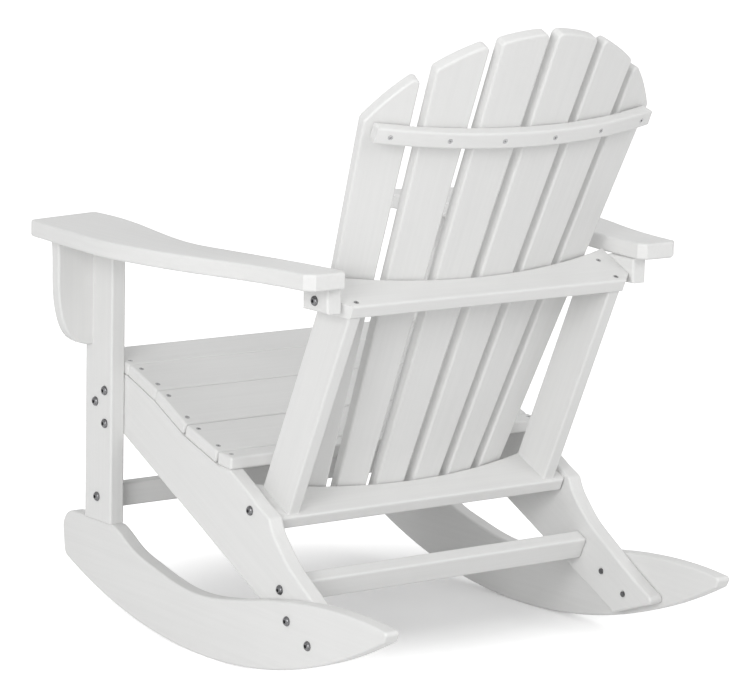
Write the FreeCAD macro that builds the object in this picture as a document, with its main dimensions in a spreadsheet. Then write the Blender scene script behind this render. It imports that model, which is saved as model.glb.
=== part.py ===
import FreeCAD, Part
import math
import os

import Sketcher

# A rocking adirondack chair, built board by board. Millimetres, +Z up, floor at Z = 0.
# The sitter faces -Y and +X is the sitter's left. The origin is under the middle of the chair's box.
# Boards are laid out with the front legs upright, then the whole chair is tipped to where it rests.

DIMENSIONS = {
    "board": (24, "thickness of rockers, legs, seat rails, arms and arm blocks"),
    "seat_board": (18.5, "thickness of the seat slats"),
    "back_board": (20, "thickness of the back slats, the brackets and the front apron"),
    "rail_board": (20.5, "thickness of the two back rails"),
    "upright_board": (21, "thickness of the back's uprights"),
    "stretcher_board": (23, "thickness of the stretchers"),
    "batten_board": (18, "thickness of the batten"),
    "edge": (3.5, "rounding of the boards' edges"),
    "half_width": (305, "centre of the chair to a rocker's outer face"),
    "rock_radius": (920, "radius of the runners' underside"),
    "rock_middle": (20.5, "where the upright chair touches the floor, along Y"),
    "rest_angle": (0.83, "how far the chair tips back at rest, in degrees"),
    "rest_shift": (-50.83, "slide along Y that puts the origin under the middle of the box"),
    "leg_front": (-285.5, "front face of a front leg"),
    "leg_width": (72, "width of a front leg"),
    "leg_foot": (144, "height of the rocker's flat seat for the leg"),
    "arm_under": (567, "height of the arms' underside"),
    "lean": (24.5, "lean of the back from upright, in degrees"),
    "back_curve": (815, "radius of the back's hollow across the slats"),
    "back_face": (3, "the slats' rear face at the middle, behind the back's axis"),
    "lower_rail_foot": (243, "up the back's axis to the lower back rail's underside"),
    "upper_rail_foot": (593, "up the back's axis to the upper back rail's underside"),
    "upright_inner": (219, "centre of the chair to an upright's inner face"),
    "upright_width": (70, "width of an upright"),
    "fan_centre": (709, "up the back's axis to the centre of the arc that cuts the slats' tops"),
    "fan_radius": (292.5, "radius of that arc"),
    "slat_gap": (16, "gap between neighbouring back slats"),
    "batten_foot": (834, "up the back's axis to the batten's underside"),
    "batten_height": (25, "height of the batten"),
    "stretcher_height": (35, "height of the stretchers"),
    "block_height": (36, "height of an arm block"),
    "block_length": (59, "length of an arm block"),
    "apron_height": (67, "height of the front apron"),
    "bolt": (8, "diameter of the bolts"),
    "bolt_head": (14, "diameter of a bolt's button head"),
    "screw": (4.5, "diameter of the screws"),
    "screw_head": (7.5, "diameter of a screw's countersunk head"),
    "dowel": (10, "diameter of the dowels"),
    "barrel": (12, "diameter of the barrel nuts"),
    "play": (0.3, "space around a fastener in its hole"),
}

doc = FreeCAD.newDocument("rocking_adirondack_chair")
sheet = doc.addObject("Spreadsheet::Sheet", "Sizes")
for row, (alias, (value, note)) in enumerate(DIMENSIONS.items(), start=1):
    sheet.set("A%d" % row, alias)
    sheet.set("B%d" % row, str(value))
    sheet.set("C%d" % row, note)
    sheet.setAlias("B%d" % row, alias)
doc.recompute()


def size(alias):
    """A driving dimension, read from the sheet."""
    return float(sheet.get(alias))


BOARD = size("board")
OUTER = size("half_width")
# the rockers' and legs' inner face is also the seat rails' outer face
MIDDLE = OUTER - BOARD
INNER = MIDDLE - BOARD
# boards that fit between two faces are this much short at each end
FITTING = 0.3
PLAY = size("play")
SIDES = (1, -1)

ORIGIN = FreeCAD.Vector(0, 0, 0)
X_AXIS = FreeCAD.Vector(1, 0, 0)
Y_AXIS = FreeCAD.Vector(0, 1, 0)
Z_AXIS = FreeCAD.Vector(0, 0, 1)
LEVEL = FreeCAD.Rotation()

# The rest position: the chair rolls back on its runners, about the centre of their arc
REST = FreeCAD.Placement(
    FreeCAD.Vector(0, size("rest_shift"), 0),
    FreeCAD.Rotation(X_AXIS, -size("rest_angle")),
    FreeCAD.Vector(0, size("rock_middle"), size("rock_radius")),
)
# The leaning back's own frame: x across the chair, y to the rear, z up along the slats
BACK = FreeCAD.Placement(ORIGIN, FreeCAD.Rotation(X_AXIS, -size("lean")))


def point(x, y, z):
    return FreeCAD.Vector(x, y, z)


def flat(pairs):
    return [FreeCAD.Vector(x, y, 0) for x, y in pairs]


def at(x, y, z, turn=LEVEL):
    return FreeCAD.Placement(point(x, y, z), turn)


def hollow(x):
    """The back slats' rear face in the back's frame: a shallow arc across the chair."""
    radius = size("back_curve")
    return size("back_face") - radius + math.sqrt(radius ** 2 - x ** 2)


def runner(y):
    """Height of the runners' underside, front legs upright."""
    radius = size("rock_radius")
    return radius - math.sqrt(radius ** 2 - (y - size("rock_middle")) ** 2)


# Fasteners: each kind is one node, a group of separate solids, with a slightly larger hole for each

fasteners = {}
holes = []


def hex_socket(across, depth, top):
    """A hexagonal recess that opens at a height and goes down."""
    radius = across / math.sqrt(3)
    corners = []
    for turn in range(7):
        angle = math.radians(60 * turn)
        corners.append(point(radius * math.cos(angle), radius * math.sin(angle), top))
    return Part.Face(Part.makePolygon(corners)).extrude(point(0, 0, -depth))


def bolt_shape(length):
    """A button-head bolt: head above Z = 0, shank below it."""
    head = size("bolt_head") / 2
    rise = 0.31 * size("bolt_head")
    profile = [point(0, 0, 0), point(head, 0, 0), point(head, 0, 0.25 * rise)]
    shoulder = point(0.83 * head, 0, 0.72 * rise)
    crown = point(0.55 * head, 0, rise)
    middle = point(0, 0, rise)
    edges = [Part.LineSegment(a, b).toShape() for a, b in zip(profile, profile[1:])]
    edges.append(Part.Arc(profile[2], shoulder, crown).toShape())
    edges.append(Part.LineSegment(crown, middle).toShape())
    edges.append(Part.LineSegment(middle, profile[0]).toShape())
    button = Part.Face(Part.Wire(edges)).revolve(ORIGIN, Z_AXIS, 360)
    shank = Part.makeCylinder(size("bolt") / 2, length, ORIGIN, -Z_AXIS)
    return button.fuse(shank).removeSplitter().cut(hex_socket(5, 0.6 * rise, rise))


def bolt_hole(length):
    return Part.makeCylinder(size("bolt") / 2 + PLAY, length + PLAY, ORIGIN, -Z_AXIS)


def screw_shape(length):
    """A countersunk screw: head flush with Z = 0, shank below it."""
    head = size("screw_head") / 2
    shank = size("screw") / 2
    cone = Part.makeCone(head, shank, head - shank, ORIGIN, -Z_AXIS)
    stem = Part.makeCylinder(shank, length, ORIGIN, -Z_AXIS)
    return cone.fuse(stem).removeSplitter().cut(hex_socket(3, 1.4, 0))


def screw_hole(length):
    head = size("screw_head") / 2 + PLAY
    shank = size("screw") / 2 + PLAY
    cone = Part.makeCone(head, shank, head - shank, ORIGIN, -Z_AXIS)
    stem = Part.makeCylinder(shank, length + PLAY, ORIGIN, -Z_AXIS)
    return cone.fuse(stem)


def pin_shape(radius, length):
    return Part.makeCylinder(radius, length, ORIGIN, -Z_AXIS)


def add_fasteners(name, shape, hole, places):
    """One group of fasteners, heads at the places, each given as (point, outward direction)."""
    solids = []
    for spot, outward in places:
        placement = FreeCAD.Placement(spot, FreeCAD.Rotation(Z_AXIS, outward))
        for source, kept in ((shape, solids), (hole, holes)):
            copy = source.copy()
            copy.Placement = placement
            kept.append(copy)
    group = doc.addObject("Part::Feature", name)
    group.Label = name
    group.Shape = Part.makeCompound(solids)
    group.Placement = REST
    fasteners[name] = group


def add_bolts(name, length, places):
    add_fasteners(name, bolt_shape(length), bolt_hole(length), places)


def add_screws(name, length, places):
    add_fasteners(name, screw_shape(length), screw_hole(length), places)


def both_sides(face, spots):
    """The same (y, z) spots on the left and the right face, pointing outward."""
    places = []
    for sign in SIDES:
        for y, z in spots:
            places.append((point(sign * face, y, z), X_AXIS * sign))
    return places


LEG_BOLTS = [(-231, 342), (-256, 322), (-230, 293)]
ROCKER_BOLTS = [(243.5, 97.5), (294, 73.5)]
FRONT_STRETCHER = (-250, 179.5)
REAR_STRETCHER = (191.5, 127.8)
LOWER_RAIL_BOLT = (115.5, 226)
ARM_BLOCK_BOLT = (262.5, 546)
END_GRIP = 42

through = 2 * BOARD
add_bolts("leg_bolts", through + 2, both_sides(OUTER, LEG_BOLTS))
add_bolts("rocker_bolts", through + 2, both_sides(OUTER, ROCKER_BOLTS))
add_bolts("front_stretcher_bolts", BOARD + END_GRIP, both_sides(OUTER, [FRONT_STRETCHER]))
add_bolts("rear_stretcher_bolts", BOARD + END_GRIP, both_sides(MIDDLE, [REAR_STRETCHER]))
add_bolts("lower_rail_bolts", BOARD + END_GRIP, both_sides(MIDDLE, [LOWER_RAIL_BOLT]))
add_bolts("arm_block_bolts", BOARD + END_GRIP, both_sides(MIDDLE, [ARM_BLOCK_BOLT]))


def threaded_inserts():
    """Bushes let into the rails' inner faces, for the bolts that pass through two boards."""
    length = 15
    bush = pin_shape(5, length)
    bore = Part.makeCylinder(size("bolt") / 2 + PLAY, length + 2, point(0, 0, 1), -Z_AXIS)
    places = []
    for spot, outward in both_sides(INNER, LEG_BOLTS + ROCKER_BOLTS):
        places.append((spot, outward * -1))
    add_fasteners("threaded_inserts", bush.cut(bore), pin_shape(5 + PLAY, length + PLAY), places)


threaded_inserts()


def barrel_nuts():
    """Cross nuts, let in from below, that the end bolts screw into."""
    radius = size("barrel") / 2
    depth = 12
    reach = 30
    nut = pin_shape(radius, depth)
    bolt = Part.makeCylinder(size("bolt") / 2 + PLAY, 4 * radius, point(-2 * radius, 0, -depth / 2), X_AXIS)
    spots = [
        (MIDDLE, FRONT_STRETCHER, LEVEL),
        (INNER, REAR_STRETCHER, BACK.Rotation),
        (INNER, LOWER_RAIL_BOLT, BACK.Rotation),
        (INNER, ARM_BLOCK_BOLT, BACK.Rotation),
    ]
    solids = []
    for face, (y, z), turn in spots:
        for sign in SIDES:
            centre = point(sign * (face - reach), y, z)
            start = centre + turn.multVec(Z_AXIS) * (depth / 2)
            placement = FreeCAD.Placement(start, turn)
            solid = nut.cut(bolt)
            solid.Placement = placement
            solids.append(solid)
            space = Part.makeCylinder(radius + PLAY, depth + 60, point(0, 0, PLAY), -Z_AXIS)
            space.Placement = placement
            holes.append(space)
    group = doc.addObject("Part::Feature", "barrel_nuts")
    group.Label = "barrel_nuts"
    group.Shape = Part.makeCompound(solids)
    group.Placement = REST
    fasteners["barrel_nuts"] = group


barrel_nuts()

# The seat: the slats' top line from front to rear, as (y, z)
SEAT_LINE = [(-284, 394), (-202, 383), (-128, 357), (-50, 320), (31.5, 295), (66, 292.5)]
SEAT_GAP = 1.5


def seat_frames():
    """For each seat slat: its placement, y along its top to the rear, and its width."""
    frames = []
    for (y0, z0), (y1, z1) in zip(SEAT_LINE, SEAT_LINE[1:]):
        fall = math.degrees(math.atan2(z1 - z0, y1 - y0))
        turn = FreeCAD.Rotation(X_AXIS, fall)
        frames.append((at(0, y0, z0, turn), math.hypot(y1 - y0, z1 - z0)))
    return frames


def seat_screw_places():
    places = []
    for frame, width in seat_frames():
        spots = (15, width - 17) if width > 50 else (width / 2,)
        for sign in SIDES:
            for y in spots:
                spot = frame.multVec(point(sign * (INNER + BOARD / 2), y, 0))
                places.append((spot, frame.Rotation.multVec(Z_AXIS)))
    return places


add_screws("seat_slat_screws", 50, seat_screw_places())

# The back: two rails, two uprights, six slats and a batten
LOWER_FOOT = size("lower_rail_foot")
UPPER_FOOT = size("upper_rail_foot")
LOWER_TOP = LOWER_FOOT + size("rail_board")
UPPER_TOP = UPPER_FOOT + size("rail_board")
BATTEN_MIDDLE = size("batten_foot") + size("batten_height") / 2
UPRIGHT_FRONT = -26
UPRIGHT_MIDDLE = size("upright_inner") + size("upright_board") / 2
SLAT_HALF_GAP = size("slat_gap") / 2
PITCH_LOW = 65
PITCH_GROWTH = 0.0358


def pitch(height):
    """Slat spacing at a height up the back: the slats fan out."""
    return PITCH_LOW + PITCH_GROWTH * (height - LOWER_TOP)


def slat_half(height):
    return pitch(height) / 2 - SLAT_HALF_GAP


def slat_frame(place):
    """A slat's frame, in the back's frame: z along its middle, y square to its rear face."""
    row = place - 3.5
    ends = []
    for height in (LOWER_FOOT, BATTEN_MIDDLE):
        x = row * pitch(height)
        ends.append(point(x, hollow(x), height))
    foot, head = ends
    along = (head - foot).normalize()
    lean = math.asin((foot.x + head.x) / 2 / size("back_curve"))
    rear = point(math.sin(lean), math.cos(lean), 0)
    across = rear.cross(along).normalize()
    rotation = FreeCAD.Rotation(across, along.cross(across), along, "ZXY")
    frame = FreeCAD.Placement(foot, rotation)
    # slide the slat forward until its rounded rear edges clear the hollow rails and batten
    forward = 0
    for height in (LOWER_FOOT, LOWER_TOP, UPPER_FOOT, UPPER_TOP, BATTEN_MIDDLE - 13, BATTEN_MIDDLE + 13):
        for side in (-1, 1):
            corner = frame.multVec(point(side * (slat_half(height) - 1), 0, height - LOWER_FOOT))
            forward = max(forward, corner.y - hollow(corner.x))
    frame.Base = foot - rear * (forward + 0.1)
    return frame


def slat_screw_places():
    """One spot on each slat's front at each of the two back rails."""
    places = []
    for place in range(1, 7):
        frame = BACK.multiply(slat_frame(place))
        for foot in (LOWER_FOOT, UPPER_FOOT):
            spot = frame.multVec(point(0, -SLAT, foot + size("rail_board") / 2 - LOWER_FOOT))
            places.append((spot, frame.Rotation.multVec(-Y_AXIS)))
    return places


def batten_screw_places():
    """One spot on the batten's rear behind each slat, square to the curve."""
    places = []
    for place in range(1, 7):
        x = (place - 3.5) * pitch(BATTEN_MIDDLE)
        lean = math.asin(x / size("back_curve"))
        outward = point(math.sin(lean), math.cos(lean), 0)
        spot = point(x, hollow(x), BATTEN_MIDDLE) + outward * BATTEN
        places.append((BACK.multVec(spot), BACK.Rotation.multVec(outward)))
    return places


SLAT = size("back_board")
BATTEN = size("batten_board")
add_screws("back_slat_screws", SLAT + 22, slat_screw_places())
add_screws("batten_screws", BATTEN + SLAT - 5, batten_screw_places())


def upright_screw_places():
    """Down through the upper rail and up through the lower rail, into the uprights' ends."""
    places = []
    up = BACK.Rotation.multVec(Z_AXIS)
    for sign in SIDES:
        for y in (UPRIGHT_FRONT + 18, UPRIGHT_FRONT + size("upright_width") - 8):
            places.append((BACK.multVec(point(sign * UPRIGHT_MIDDLE, y, UPPER_TOP)), up))
            places.append((BACK.multVec(point(sign * UPRIGHT_MIDDLE, y, LOWER_FOOT)), up * -1))
    return places


add_screws("upright_screws", 60, upright_screw_places())

# The arms: blocks, brackets, dowels
LEG_FRONT = size("leg_front")
LEG_BACK = LEG_FRONT + size("leg_width")
LEG_FOOT = size("leg_foot")
ARM_UNDER = size("arm_under")
BLOCK_FRONT = 233
BRACKET_REACH = 62
BRACKET_FOOT = 406
APRON_FOOT = 305
APRON_BACK = LEG_FRONT + SLAT


def mirrored(spots):
    """Places on both sides from (x, y, z, outward x, outward z)."""
    places = []
    for sign in SIDES:
        for x, y, z, out_x, out_y, out_z in spots:
            places.append((point(sign * x, y, z), point(sign * out_x, out_y, out_z)))
    return places


bracket_middle = LEG_FRONT + SLAT / 2
block_foot = ARM_UNDER - size("block_height")
add_screws("apron_screws", 60, mirrored([
    (INNER + BOARD / 2, LEG_FRONT, 322, 0, -1, 0),
    (INNER + BOARD / 2, LEG_FRONT, 352, 0, -1, 0),
]))
add_screws("bracket_screws", 55, mirrored([
    (MIDDLE, bracket_middle, 440, -1, 0, 0),
    (MIDDLE, bracket_middle, 530, -1, 0, 0),
]))
add_screws("arm_block_screws", 50, mirrored([
    (INNER + BOARD / 2, BLOCK_FRONT + 12, block_foot, 0, 0, -1),
    (INNER + BOARD / 2, BLOCK_FRONT + size("block_length") - 12, block_foot, 0, 0, -1),
]))
dowel = pin_shape(size("dowel") / 2, 50)
dowel_hole = pin_shape(size("dowel") / 2 + PLAY, 50)
leg_middle = OUTER - BOARD / 2
add_fasteners("arm_dowels", dowel, dowel_hole, mirrored([
    (leg_middle, LEG_FRONT + 34, ARM_UNDER + 14, 0, 0, 1),
    (leg_middle, LEG_BACK - 14, ARM_UNDER + 14, 0, 0, 1),
    (OUTER + 40, bracket_middle, ARM_UNDER + 14, 0, 0, 1),
]))
add_fasteners("leg_dowels", dowel, dowel_hole, mirrored([
    (leg_middle, LEG_FRONT + 18, LEG_FOOT + 25, 0, 0, 1),
    (leg_middle, LEG_BACK - 14, LEG_FOOT + 25, 0, 0, 1),
]))


# Boards: a sketched outline, padded, its corners and edges rounded, then drilled

subparts = []


def new_body(name, placement):
    body = doc.addObject("PartDesign::Body", name + "_board")
    body.Label = name + "_board"
    body.Placement = REST.multiply(placement)
    return body


def new_sketch(body, role):
    sketch = body.newObject("Sketcher::SketchObject", body.Name + "_outline")
    for plane in body.Origin.OriginFeatures:
        if plane.Role == role:
            sketch.AttachmentSupport = [(plane, "")]
    sketch.MapMode = "FlatFace"
    return sketch


def chain(pairs, closed=False):
    """Straight lines from each point to the next."""
    corners = flat(pairs)
    if closed:
        corners.append(corners[0])
    return [Part.LineSegment(a, b) for a, b in zip(corners, corners[1:])]


def curve(pairs):
    """A smooth curve through the points."""
    spline = Part.BSplineCurve()
    spline.interpolate(flat(pairs))
    return spline


def rectangle(sketch, low, high, cells):
    """A rectangle from corner to corner; a side follows its cell of the sheet, where one is named."""
    (x0, y0), (x1, y1) = low, high
    for line in chain([(x0, y0), (x1, y0), (x1, y1), (x0, y1)], closed=True):
        sketch.addGeometry(line, False)
    for side in range(4):
        sketch.addConstraint(Sketcher.Constraint("Coincident", side, 2, (side + 1) % 4, 1))
    for side, kind in enumerate(("Horizontal", "Vertical", "Horizontal", "Vertical")):
        sketch.addConstraint(Sketcher.Constraint(kind, side))
    sketch.addConstraint(Sketcher.Constraint("DistanceX", -1, 1, 0, 1, x0))
    sketch.addConstraint(Sketcher.Constraint("DistanceY", -1, 1, 0, 1, y0))
    across = sketch.addConstraint(Sketcher.Constraint("DistanceX", 0, 1, 0, 2, x1 - x0))
    along = sketch.addConstraint(Sketcher.Constraint("DistanceY", 1, 1, 1, 2, y1 - y0))
    for constraint, cell in zip((across, along), cells):
        if cell:
            sketch.setExpression("Constraints[%d]" % constraint, "Sizes." + cell)


def fillet(body, base, names, radius_cell=None, radius=None):
    feature = body.newObject("PartDesign::Fillet", body.Name + "_round")
    feature.Base = (base, names)
    if radius_cell:
        feature.setExpression("Radius", "Sizes." + radius_cell)
    else:
        feature.Radius = radius
    doc.recompute()
    return feature


def edges_where(shape, wanted):
    return ["Edge%d" % number for number, edge in enumerate(shape.Edges, start=1) if wanted(edge)]


def board(name, placement, plane, curves, thickness, corners=(), rounded=None):
    """Pad an outline by a cell of the sheet, round the given corners, then the wanted edges."""
    body = new_body(name, placement)
    sketch = new_sketch(body, plane)
    for piece in curves:
        sketch.addGeometry(piece, False)
    feature = body.newObject("PartDesign::Pad", body.Name + "_pad")
    feature.Profile = sketch
    feature.setExpression("Length", "Sizes." + thickness)
    doc.recompute()
    normal = {"YZ_Plane": X_AXIS, "XY_Plane": Z_AXIS, "XZ_Plane": Y_AXIS}[plane]
    solid = feature
    for x, y, radius in corners:
        def at_corner(edge):
            ends = [vertex.Point for vertex in edge.Vertexes]
            run = ends[-1] - ends[0]
            if len(ends) < 2 or abs(run.normalize().dot(normal)) < 0.99:
                return False
            middle = (ends[0] + ends[-1]) * 0.5
            here = {"YZ_Plane": (middle.y, middle.z), "XY_Plane": (middle.x, middle.y),
                    "XZ_Plane": (middle.x, middle.z)}[plane]
            return math.hypot(here[0] - x, here[1] - y) < 1
        solid = fillet(body, solid, edges_where(solid.Shape, at_corner), radius=radius)

    def on_face(edge):
        box = edge.BoundBox
        depth = abs(point(box.XLength, box.YLength, box.ZLength).dot(normal))
        return depth < 0.01 and (rounded is None or rounded(edge))

    fillet(body, solid, edges_where(solid.Shape, on_face), radius_cell="edge")
    drill(name, body)


def cross_board(name, placement, half_length, low, high, cells):
    """A straight board across the chair, its section a rectangle of its own YZ plane."""
    body = new_body(name, placement.multiply(at(-half_length, 0, 0)))
    sketch = new_sketch(body, "YZ_Plane")
    rectangle(sketch, low, high, cells)
    feature = body.newObject("PartDesign::Pad", body.Name + "_pad")
    feature.Profile = sketch
    feature.Length = 2 * half_length
    doc.recompute()
    fillet(body, feature, edges_where(feature.Shape, lambda edge: True), radius_cell="edge")
    drill(name, body)


def drill(name, body):
    """Cut the holes of the fasteners that pass through a board, and give it its name."""
    blank = body.Shape
    tools = []
    for hole in holes:
        tool = hole.copy()
        tool.Placement = REST.multiply(hole.Placement)
        if tool.BoundBox.intersect(blank.BoundBox) and tool.common(blank).Volume > 1:
            tools.append(tool)
    if not tools:
        body.Label = name
        subparts.append(body)
        return
    drills = doc.addObject("Part::Feature", name + "_holes")
    drills.Shape = Part.makeCompound(tools)
    drilled = doc.addObject("Part::Cut", name)
    drilled.Base = body
    drilled.Tool = drills
    drilled.Label = name
    doc.recompute()
    subparts.append(drilled)


# Rockers: blunt nose, flat for the leg, hollow top and tapering tail over one long arc
NOSE_FOOT = (-342, runner(-342))
NOSE_TOP = (-351, LEG_FOOT)
TAIL_FOOT = (467, runner(467))
TAIL_TOP = (474.5, 131)
ROCKER_TOP = [TAIL_TOP, (414, 135.5), (320, 133), (202, 117.5), (90, 95.5), (1, 88), (-51, 93.5),
              (-105, 105), (-160, 121), (-190, 137), (LEG_BACK + 6, LEG_FOOT)]
runner_points = flat([NOSE_FOOT, (size("rock_middle"), 0), TAIL_FOOT])
rocker_curves = [
    Part.Arc(*runner_points),
    *chain([TAIL_FOOT, TAIL_TOP]),
    curve(ROCKER_TOP),
    *chain([ROCKER_TOP[-1], NOSE_TOP, NOSE_FOOT]),
]
ROCKER_CORNERS = [(*NOSE_FOOT, 14), (*NOSE_TOP, 28), (*TAIL_FOOT, 5), (*TAIL_TOP, 5)]

# Seat rails: flats for the slats, a fall to the back's foot, a hollow, and a tip along the runner
RAIL_FRONT = APRON_BACK + FITTING
RAIL_LOW = ((272, 41), (-216, 275))
RAIL_SHOULDER = (162, 223)
RAIL_TIP = (366, 75)


def rail_curves():
    under = [frame.multiply(at(0, 0, -size("seat_board"))) for frame, width in seat_frames()]
    flats = []
    for first, second in zip(under, under[1:]):
        p = first.Base
        d = first.Rotation.multVec(Y_AXIS)
        q = second.Base
        e = second.Rotation.multVec(Y_AXIS)
        share = ((q.y - p.y) * e.z - (q.z - p.z) * e.y) / (d.y * e.z - d.z * e.y)
        flats.append((p.y + d.y * share, p.z + d.z * share))
    first = under[0].multVec(point(0, RAIL_FRONT - under[0].Base.y, 0))
    last = under[-1].multVec(point(0, seat_frames()[-1][1] - 1, 0))
    (y0, z0), (y1, z1) = RAIL_LOW
    low_front = (RAIL_FRONT, z1 + (RAIL_FRONT - y1) * (z1 - z0) / (y1 - y0))
    rear = [RAIL_SHOULDER, (171, 204), (184, 189), (208, 166), (237, 147), (273, 125), (314, 101), RAIL_TIP]
    straight = [(RAIL_FRONT, first.z)] + flats + [(last.y, last.z), (106, 252), (134, 236), RAIL_SHOULDER]
    return chain([low_front] + straight) + [curve(rear)] + chain([RAIL_TIP, RAIL_LOW[0], low_front])


board("rocker_left", at(MIDDLE, 0, 0), "YZ_Plane", rocker_curves, "board", ROCKER_CORNERS)
leg = chain([(LEG_FRONT, LEG_FOOT), (LEG_BACK, LEG_FOOT), (LEG_BACK, ARM_UNDER), (LEG_FRONT, ARM_UNDER)],
            closed=True)
board("front_leg_left", at(MIDDLE, 0, 0), "YZ_Plane", leg, "board",
      rounded=lambda edge: edge.BoundBox.ZLength > BOARD)
board("seat_rail_left", at(INNER, 0, 0), "YZ_Plane", rail_curves(), "board",
      [(*RAIL_SHOULDER, 9), (*RAIL_TIP, 7)],
      lambda edge: edge.BoundBox.Center.y > 30 or edge.BoundBox.ZMin < 200)
block_end = BLOCK_FRONT + size("block_length")
block = chain([(BLOCK_FRONT, block_foot), (block_end, block_foot), (block_end, ARM_UNDER),
               (BLOCK_FRONT, ARM_UNDER)], closed=True)
board("arm_block_left", at(INNER, 0, 0), "YZ_Plane", block, "board")

# Arms: broad rounded front, bowed outer edge, waisted inner edge, clipped rear corners
ARM_OUTER = [(388, -311), (397, -209), (403, -126), (404, -73), (398, -21), (387, 41), (367, 118),
             (350, 173), (338, 222), (327, 299)]
ARM_INNER = [(258, 299), (268, 208), (281, 130), (295, 51), (301, 10), (301, -16), (292, -81),
             (276, -155), (262, -225), (258, -339)]
ARM_REAR = [(327, 299), (314, 311), (267, 311), (258, 299)]
BRACKET_CURVE = [(OUTER + BRACKET_REACH, ARM_UNDER), (364, 495), (357, 447), (344, 421), (326, 409),
                 (OUTER, BRACKET_FOOT)]


arm = [
    curve(ARM_OUTER),
    *chain(ARM_REAR),
    curve(ARM_INNER),
    *chain([ARM_INNER[-1], ARM_OUTER[0]]),
]
board("arm_left", at(0, 0, ARM_UNDER), "XY_Plane", arm, "board", [(*ARM_OUTER[0], 16), (*ARM_INNER[-1], 8)])
bracket = [
    *chain([(OUTER, BRACKET_FOOT), (OUTER, ARM_UNDER), (OUTER + BRACKET_REACH, ARM_UNDER)]),
    curve(BRACKET_CURVE),
]
board("arm_bracket_left", at(0, APRON_BACK, 0), "XZ_Plane", bracket, "back_board",
      rounded=lambda edge: abs(edge.BoundBox.XLength) > 1 and edge.BoundBox.ZLength > 1)

# Boards across the chair
half_board = size("stretcher_board") / 2
half_height = size("stretcher_height") / 2
stretcher_cells = ("stretcher_board", "stretcher_height")
cross_board("front_stretcher", at(0, *FRONT_STRETCHER), MIDDLE, (-half_board, -half_height),
            (half_board, half_height), stretcher_cells)
cross_board("rear_stretcher", at(0, *REAR_STRETCHER, BACK.Rotation), INNER, (-half_board, -half_height),
            (half_board, half_height), stretcher_cells)
cross_board("front_apron", at(0, LEG_FRONT, APRON_FOOT), MIDDLE - FITTING, (0, 0),
            (SLAT, size("apron_height")), ("back_board", "apron_height"))
for place, (frame, width) in enumerate(seat_frames(), start=1):
    last = place == len(SEAT_LINE) - 1
    cross_board("seat_slat_%d" % place, frame, MIDDLE - FITTING, (0, -size("seat_board")),
                (width - (0 if last else SEAT_GAP), 0), (None, "seat_board"))


def back_rail(name, foot, rear, clip):
    """A board across the back whose front edge is hollowed to the slats."""
    end = INNER - FITTING
    near = flat([(-end, hollow(end)), (0, hollow(0)), (end, hollow(end))])
    outline = [
        Part.Arc(*near),
        *chain([(end, hollow(end)), (end, rear - clip), (end - clip, rear), (clip - end, rear),
                (-end, rear - clip), (-end, hollow(end))]),
    ]
    board(name, BACK.multiply(at(0, 0, foot)), "XY_Plane", outline, "rail_board",
          rounded=lambda edge: edge.BoundBox.XLength > end)


back_rail("lower_back_rail", LOWER_FOOT, 50, 4)
back_rail("upper_back_rail", UPPER_FOOT, 47, 16)

upright = new_body("back_upright_left", BACK.multiply(at(0, 0, LOWER_TOP)))
section = new_sketch(upright, "XY_Plane")
rectangle(section, (size("upright_inner"), UPRIGHT_FRONT),
          (size("upright_inner") + size("upright_board"), UPRIGHT_FRONT + size("upright_width")),
          ("upright_board", "upright_width"))
rise = upright.newObject("PartDesign::Pad", "upright_pad")
rise.Profile = section
rise.setExpression("Length", "Sizes.upper_rail_foot - Sizes.lower_rail_foot - Sizes.rail_board")
doc.recompute()
fillet(upright, rise, edges_where(rise.Shape, lambda edge: edge.Length > 100), radius_cell="edge")
drill("back_upright_left", upright)

# The right-hand boards mirror the left-hand ones
for left in list(subparts):
    if left.Label.endswith("_left"):
        right = doc.addObject("Part::Mirroring", left.Label.replace("_left", "_right"))
        right.Label = right.Name
        right.Source = left
        right.Normal = X_AXIS
        right.Base = ORIGIN
        subparts.append(right)
doc.recompute()


def batten():
    """A strip behind the slats, curved like them."""
    radius = size("back_curve")
    half_angle = math.asin(235 / radius)
    centre_y = size("back_face") - radius

    def bent(reach, angles):
        return flat([(reach * math.sin(a), centre_y + reach * math.cos(a)) for a in angles])

    near = bent(radius, (-half_angle, 0, half_angle))
    far = bent(radius + BATTEN, (half_angle, 0, -half_angle))
    outline = [
        Part.Arc(*near),
        Part.LineSegment(near[2], far[0]),
        Part.Arc(*far),
        Part.LineSegment(far[2], near[0]),
    ]
    board("back_batten", BACK.multiply(at(0, 0, size("batten_foot"))), "XY_Plane", outline, "batten_height")


batten()


def back_slat(place):
    """A tapered slat: straight edges, its top cut to the fan's arc with rounded corners."""
    frame = slat_frame(place)

    def top(side, guess):
        """Height above the foot where a line of the slat meets the fan's arc."""
        for step in range(12):
            spot = frame.multVec(point(side * slat_half(guess + LOWER_FOOT), 0, guess))
            guess = size("fan_centre") + math.sqrt(size("fan_radius") ** 2 - spot.x ** 2) - LOWER_FOOT
        return guess

    low, middle, high = [top(side, 700) for side in (-1, 0, 1)]
    foot_half = slat_half(LOWER_FOOT)
    left = (-slat_half(low + LOWER_FOOT), low)
    right = (slat_half(high + LOWER_FOOT), high)
    crown = flat([right, (0, middle), left])
    outline = [*chain([left, (-foot_half, 0), (foot_half, 0), right]), Part.Arc(*crown)]
    board("back_slat_%d" % place, BACK.multiply(frame), "XZ_Plane", outline, "back_board",
          [(*left, 8), (*right, 8)])


for place in range(1, 7):
    back_slat(place)
subparts.extend(fasteners.values())

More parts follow.
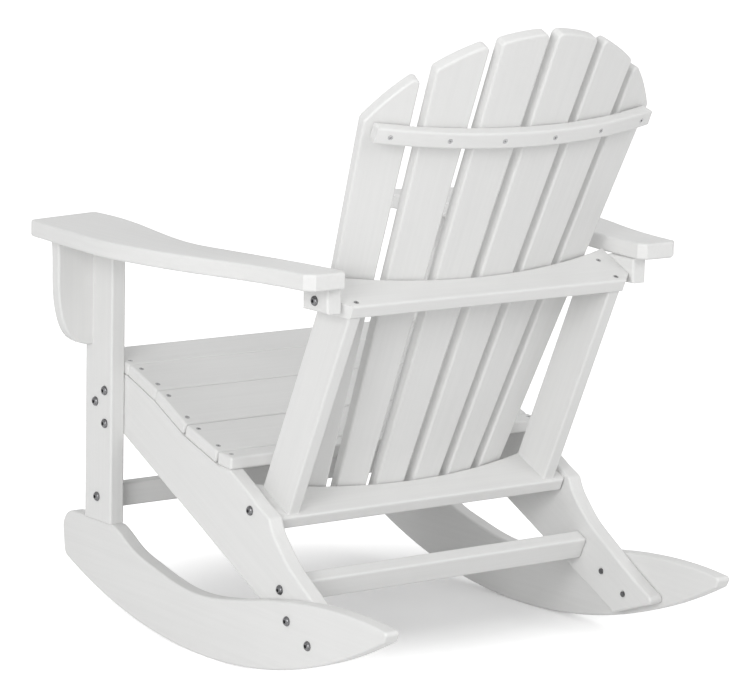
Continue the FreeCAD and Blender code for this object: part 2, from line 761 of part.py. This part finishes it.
# Check every object and solid, then write one file for each node
doc.recompute()
for item in doc.Objects:
    if "Invalid" in item.State or "Error" in item.State:
        raise RuntimeError("failed: %s %s" % (item.Name, item.State))
for item in subparts:
    shape = item.Shape
    if shape.isNull() or not shape.isValid() or shape.Volume <= 0:
        raise RuntimeError("bad shape: " + item.Label)
os.makedirs("parts", exist_ok=True)
for item in subparts:
    item.Shape.exportStep(os.path.join("parts", item.Label + ".step"))
    print("%-24s %2d solids %12.1f mm3" % (item.Label, len(item.Shape.Solids), item.Shape.Volume))
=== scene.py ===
import bpy
import math
from mathutils import Matrix, Vector

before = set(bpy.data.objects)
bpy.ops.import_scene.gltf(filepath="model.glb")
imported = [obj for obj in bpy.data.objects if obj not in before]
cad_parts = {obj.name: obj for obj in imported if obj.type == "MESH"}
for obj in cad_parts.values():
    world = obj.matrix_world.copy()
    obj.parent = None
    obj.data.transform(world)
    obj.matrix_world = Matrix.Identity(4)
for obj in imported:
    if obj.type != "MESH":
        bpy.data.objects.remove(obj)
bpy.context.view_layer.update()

# How the boards lie, in degrees: the whole chair tips back at rest, the back leans,
# the seat rails slope and each back slat turns from the next one in the fan
REST_ANGLE = 0.83
BACK_LEAN = 24.5
RAIL_SLOPE = 25.6
SLAT_TURN = 2.05
MIDDLE_OF_FAN = 3.5

# Materials. A noise scale is in waves a metre, a bump distance is in metres

ALONG_X = Vector((1, 0, 0))
WHITE = (1, 1, 1, 1)
GRAIN_STRETCH = 0.03
MOTTLE_STRETCH = 0.25
GRAIN_SCALE = 900
STREAK_SCALE = 170
MOTTLE_SCALE = 18
STREAK_DEPTH = 0.0004
GRAIN_DEPTH = 0.00012
SPECKLE_SCALE = 700
SPECKLE_DEPTH = 0.0001


def in_side_plane(slope):
    """A direction in the YZ plane, from level rear towards up, in degrees."""
    angle = math.radians(slope)
    return Vector((0, math.cos(angle), math.sin(angle)))


def new_material(name):
    """An empty node material with one shader on its output."""
    material = bpy.data.materials.new(name)
    material.use_nodes = True
    nodes = material.node_tree.nodes
    nodes.clear()
    output = nodes.new("ShaderNodeOutputMaterial")
    shader = nodes.new("ShaderNodeBsdfPrincipled")
    material.node_tree.links.new(shader.outputs["BSDF"], output.inputs["Surface"])
    return material, shader


def add_ramp(nodes, low, high, low_colour, high_colour):
    """A colour ramp between two places on a 0 to 1 value."""
    ramp = nodes.new("ShaderNodeValToRGB")
    ramp.color_ramp.elements[0].position = low
    ramp.color_ramp.elements[0].color = (*low_colour, 1)
    ramp.color_ramp.elements[1].position = high
    ramp.color_ramp.elements[1].color = (*high_colour, 1)
    return ramp


def board_coordinates(material, direction, stretch):
    """Object coordinates turned so that the grain runs along X, and squeezed along it."""
    nodes = material.node_tree.nodes
    links = material.node_tree.links
    place = nodes.new("ShaderNodeTexCoord")
    turn = nodes.new("ShaderNodeMapping")
    turn.vector_type = "POINT"
    turn.inputs["Rotation"].default_value = direction.rotation_difference(ALONG_X).to_euler()
    squeeze = nodes.new("ShaderNodeMapping")
    squeeze.vector_type = "POINT"
    squeeze.inputs["Scale"].default_value = (stretch, 1, 1)
    links.new(place.outputs["Object"], turn.inputs["Vector"])
    links.new(turn.outputs["Vector"], squeeze.inputs["Vector"])
    return squeeze


def noise(material, coordinates, scale, detail):
    """A noise texture on the given coordinates."""
    texture = material.node_tree.nodes.new("ShaderNodeTexNoise")
    texture.inputs["Scale"].default_value = scale
    texture.inputs["Detail"].default_value = detail
    material.node_tree.links.new(coordinates.outputs["Vector"], texture.inputs["Vector"])
    return texture


def bump(material, height, strength, distance, below=None):
    """A bump from a height, laid over another bump where one is given."""
    node = material.node_tree.nodes.new("ShaderNodeBump")
    node.inputs["Strength"].default_value = strength
    node.inputs["Distance"].default_value = distance
    material.node_tree.links.new(height, node.inputs["Height"])
    if below:
        material.node_tree.links.new(below.outputs["Normal"], node.inputs["Normal"])
    return node


def lumber(name, direction):
    """White plastic lumber: a faint brushed grain along the board, over soft mottling."""
    material, shader = new_material(name)
    nodes = material.node_tree.nodes
    links = material.node_tree.links
    brushed = board_coordinates(material, direction, GRAIN_STRETCH)
    broad = board_coordinates(material, direction, MOTTLE_STRETCH)
    grain = noise(material, brushed, GRAIN_SCALE, 3)
    streaks = noise(material, brushed, STREAK_SCALE, 2)
    mottle = noise(material, broad, MOTTLE_SCALE, 3)
    fine = add_ramp(nodes, 0.3, 0.7, (0.745, 0.745, 0.738), (0.765, 0.765, 0.758))
    soft = add_ramp(nodes, 0.3, 0.7, (0.985, 0.985, 0.985), (1, 1, 1))
    links.new(streaks.outputs["Fac"], fine.inputs["Fac"])
    links.new(mottle.outputs["Fac"], soft.inputs["Fac"])
    mix = nodes.new("ShaderNodeMix")
    mix.data_type = "RGBA"
    mix.blend_type = "MULTIPLY"
    mix.inputs["Factor"].default_value = 1
    links.new(fine.outputs["Color"], mix.inputs["A"])
    links.new(soft.outputs["Color"], mix.inputs["B"])
    links.new(mix.outputs["Result"], shader.inputs["Base Color"])
    rough = nodes.new("ShaderNodeMapRange")
    rough.inputs["To Min"].default_value = 0.42
    rough.inputs["To Max"].default_value = 0.58
    links.new(grain.outputs["Fac"], rough.inputs["Value"])
    links.new(rough.outputs["Result"], shader.inputs["Roughness"])
    shader.inputs["Specular IOR Level"].default_value = 0.4
    broad_bump = bump(material, streaks.outputs["Fac"], 0.18, STREAK_DEPTH)
    fine_bump = bump(material, grain.outputs["Fac"], 0.3, GRAIN_DEPTH, broad_bump)
    links.new(fine_bump.outputs["Normal"], shader.inputs["Normal"])
    return material


def metal(name, dark, light, roughness):
    """Plated steel with a finely uneven sheen."""
    material, shader = new_material(name)
    nodes = material.node_tree.nodes
    links = material.node_tree.links
    place = board_coordinates(material, ALONG_X, 1)
    speckle = noise(material, place, SPECKLE_SCALE, 4)
    tone = add_ramp(nodes, 0.35, 0.65, dark, light)
    links.new(speckle.outputs["Fac"], tone.inputs["Fac"])
    links.new(tone.outputs["Color"], shader.inputs["Base Color"])
    sheen = nodes.new("ShaderNodeMapRange")
    sheen.inputs["To Min"].default_value = roughness - 0.08
    sheen.inputs["To Max"].default_value = roughness + 0.1
    links.new(speckle.outputs["Fac"], sheen.inputs["Value"])
    links.new(sheen.outputs["Result"], shader.inputs["Roughness"])
    shader.inputs["Metallic"].default_value = 1
    dents = bump(material, speckle.outputs["Fac"], 0.15, SPECKLE_DEPTH)
    links.new(dents.outputs["Normal"], shader.inputs["Normal"])
    return material


back_up = in_side_plane(90 - BACK_LEAN - REST_ANGLE)
grain_across = lumber("lumber_across", ALONG_X)
grain_along = lumber("lumber_along", in_side_plane(-REST_ANGLE))
grain_up = lumber("lumber_up", in_side_plane(90 - REST_ANGLE))
grain_rail = lumber("lumber_rail", in_side_plane(-RAIL_SLOPE - REST_ANGLE))
grain_back = lumber("lumber_back", back_up)
bolt_steel = metal("bolt_steel", (0.11, 0.11, 0.115), (0.22, 0.22, 0.225), 0.28)
screw_steel = metal("screw_steel", (0.3, 0.3, 0.31), (0.5, 0.5, 0.5), 0.34)

GRAINS = {
    "rocker": grain_along, "arm": grain_along, "arm_block": grain_along,
    "front_leg": grain_up, "arm_bracket": grain_up,
    "seat_rail": grain_rail, "back_upright": grain_back,
}


def board_material(name):
    """The material whose grain runs along this board."""
    if name.endswith("bolts"):
        return bolt_steel
    if name.endswith(("screws", "barrel_nuts")):
        return screw_steel
    for ending in ("_left", "_right"):
        if name.endswith(ending):
            return GRAINS[name[:-len(ending)]]
    if name.startswith("back_slat"):
        place = int(name[-1])
        fan = math.radians((place - MIDDLE_OF_FAN) * SLAT_TURN)
        direction = back_up * math.cos(fan) + ALONG_X * math.sin(fan)
        return lumber("lumber_back_slat_%d" % place, direction)
    return grain_across


for name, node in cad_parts.items():
    chosen = board_material(name)
    if not node.material_slots:
        node.data.materials.append(chosen)
    for slot in node.material_slots:
        slot.material = chosen

# Floor: white where it is lit, soft grey in the chair's shadow, with painted shade: its glow to
# white is weaker around the middle of the shadow, which darkens the floor there, and full from
# the far edge on. Lengths are in metres

FLOOR_SIZE = 60
# Painted shade: the floor's glow drops to the near level around the middle of the chair's shadow
FLOOR_GLOW_IN_PAINTED_SHADE = 0.27
FLOOR_LIFT_FAR = 0.8
PAINTED_SHADE_MIDDLE = Vector((-0.13, -0.2, 0))
PAINTED_SHADE_CORE = 0.2
PAINTED_SHADE_EDGE = 0.55


def background_rays(nodes, links):
    """1 for rays that show the background: straight from the camera, mirrored or passed on."""
    path = nodes.new("ShaderNodeLightPath")
    first = nodes.new("ShaderNodeMath")
    first.operation = "MAXIMUM"
    second = nodes.new("ShaderNodeMath")
    second.operation = "MAXIMUM"
    links.new(path.outputs["Is Camera Ray"], first.inputs[0])
    links.new(path.outputs["Is Glossy Ray"], first.inputs[1])
    links.new(first.outputs["Value"], second.inputs[0])
    links.new(path.outputs["Is Transmission Ray"], second.inputs[1])
    return second


def floor_material():
    """Matt pale floor that shows as white outside the chair's shadow, with painted shade where
    its glow is weaker around the shadow's middle.
    """
    material, shader = new_material("studio_floor")
    nodes = material.node_tree.nodes
    links = material.node_tree.links
    place = board_coordinates(material, ALONG_X, 1)
    speckle = noise(material, place, 60, 2)
    tone = add_ramp(nodes, 0.3, 0.7, (0.72, 0.72, 0.72), (0.74, 0.74, 0.74))
    links.new(speckle.outputs["Fac"], tone.inputs["Fac"])
    links.new(tone.outputs["Color"], shader.inputs["Base Color"])
    shader.inputs["Roughness"].default_value = 0.9
    shader.inputs["Specular IOR Level"].default_value = 0.1
    seen = background_rays(nodes, links)
    floor_point = nodes.new("ShaderNodeTexCoord")
    reach = nodes.new("ShaderNodeVectorMath")
    reach.operation = "DISTANCE"
    reach.inputs[1].default_value = PAINTED_SHADE_MIDDLE
    links.new(floor_point.outputs["Object"], reach.inputs[0])
    # Painted shade: the glow is weakest near the shadow's middle and full from its edge on
    painted_shade_falloff = nodes.new("ShaderNodeMapRange")
    painted_shade_falloff.interpolation_type = "SMOOTHSTEP"
    painted_shade_falloff.inputs["From Min"].default_value = PAINTED_SHADE_CORE
    painted_shade_falloff.inputs["From Max"].default_value = PAINTED_SHADE_EDGE
    painted_shade_falloff.inputs["To Min"].default_value = FLOOR_GLOW_IN_PAINTED_SHADE
    painted_shade_falloff.inputs["To Max"].default_value = FLOOR_LIFT_FAR
    links.new(reach.outputs["Value"], painted_shade_falloff.inputs["Value"])
    floor_glow_with_painted_shade = nodes.new("ShaderNodeMath")
    floor_glow_with_painted_shade.operation = "MULTIPLY"
    links.new(painted_shade_falloff.outputs["Result"], floor_glow_with_painted_shade.inputs[1])
    links.new(seen.outputs["Value"], floor_glow_with_painted_shade.inputs[0])
    shader.inputs["Emission Color"].default_value = WHITE
    links.new(floor_glow_with_painted_shade.outputs["Value"], shader.inputs["Emission Strength"])
    return material


bpy.ops.mesh.primitive_plane_add(size=FLOOR_SIZE, location=(0, 0, 0))
floor = bpy.context.object
floor.name = "studio_floor"
floor.data.materials.append(floor_material())

# World: plain white behind the chair, a softer white as light

AMBIENT_LEVEL = 0.6

world = bpy.data.worlds.new("studio")
bpy.context.scene.world = world
world.use_nodes = True
nodes = world.node_tree.nodes
links = world.node_tree.links
nodes.clear()
output = nodes.new("ShaderNodeOutputWorld")
blend = nodes.new("ShaderNodeMixShader")
ambient = nodes.new("ShaderNodeBackground")
ambient.inputs["Color"].default_value = WHITE
ambient.inputs["Strength"].default_value = AMBIENT_LEVEL
backdrop = nodes.new("ShaderNodeBackground")
backdrop.inputs["Color"].default_value = WHITE
backdrop.inputs["Strength"].default_value = 1
seen = background_rays(nodes, links)
links.new(seen.outputs["Value"], blend.inputs["Fac"])
links.new(ambient.outputs["Background"], blend.inputs[1])
links.new(backdrop.outputs["Background"], blend.inputs[2])
links.new(blend.outputs["Shader"], output.inputs["Surface"])


# Lamps: place and aim in metres, width in metres, power in watts

CHAIR_MIDDLE = (0, 0, 0.4)
CHAIR_FOOT = (0, 0, 0.2)


def area_light(name, location, aim, width, power):
    """A square soft lamp that faces the aim."""
    data = bpy.data.lights.new(name, "AREA")
    data.size = width
    data.energy = power
    lamp = bpy.data.objects.new(name, data)
    bpy.context.collection.objects.link(lamp)
    lamp.location = location
    direction = Vector(aim) - Vector(location)
    lamp.rotation_euler = direction.to_track_quat("-Z", "Y").to_euler()


area_light("key", (4.3, 2.7, 1.7), CHAIR_MIDDLE, 2.4, 120)
area_light("far_side", (-1.6, 4.3, 3.0), CHAIR_MIDDLE, 2.4, 54)
area_light("top", (1.0, 0.5, 4.6), CHAIR_FOOT, 2.2, 10)

# Camera: fitted to the photograph. Distance and target in metres, lens and sensor in mm

AZIMUTH = math.radians(143.626)
ELEVATION = math.radians(9.552)
ROLL = math.radians(0.730)
DISTANCE = 5.37508
TARGET = Vector((0, -0.02956, 0.41599))
LENS = 175.709
SENSOR = 36

back = Vector((math.sin(AZIMUTH) * math.cos(ELEVATION), -math.cos(AZIMUTH) * math.cos(ELEVATION),
               math.sin(ELEVATION)))
level_right = Vector((math.cos(AZIMUTH), math.sin(AZIMUTH), 0))
level_up = back.cross(level_right)
right = level_right * math.cos(ROLL) + level_up * math.sin(ROLL)
up = back.cross(right)
camera_data = bpy.data.cameras.new("camera")
camera_data.lens = LENS
camera_data.sensor_width = SENSOR
camera_data.sensor_fit = "HORIZONTAL"
camera = bpy.data.objects.new("camera", camera_data)
bpy.context.collection.objects.link(camera)
placing = Matrix((right, up, back)).transposed().to_4x4()
placing.translation = TARGET + back * DISTANCE
camera.matrix_world = placing
bpy.context.scene.camera = camera
bpy.context.scene.view_settings.view_transform = "Standard"
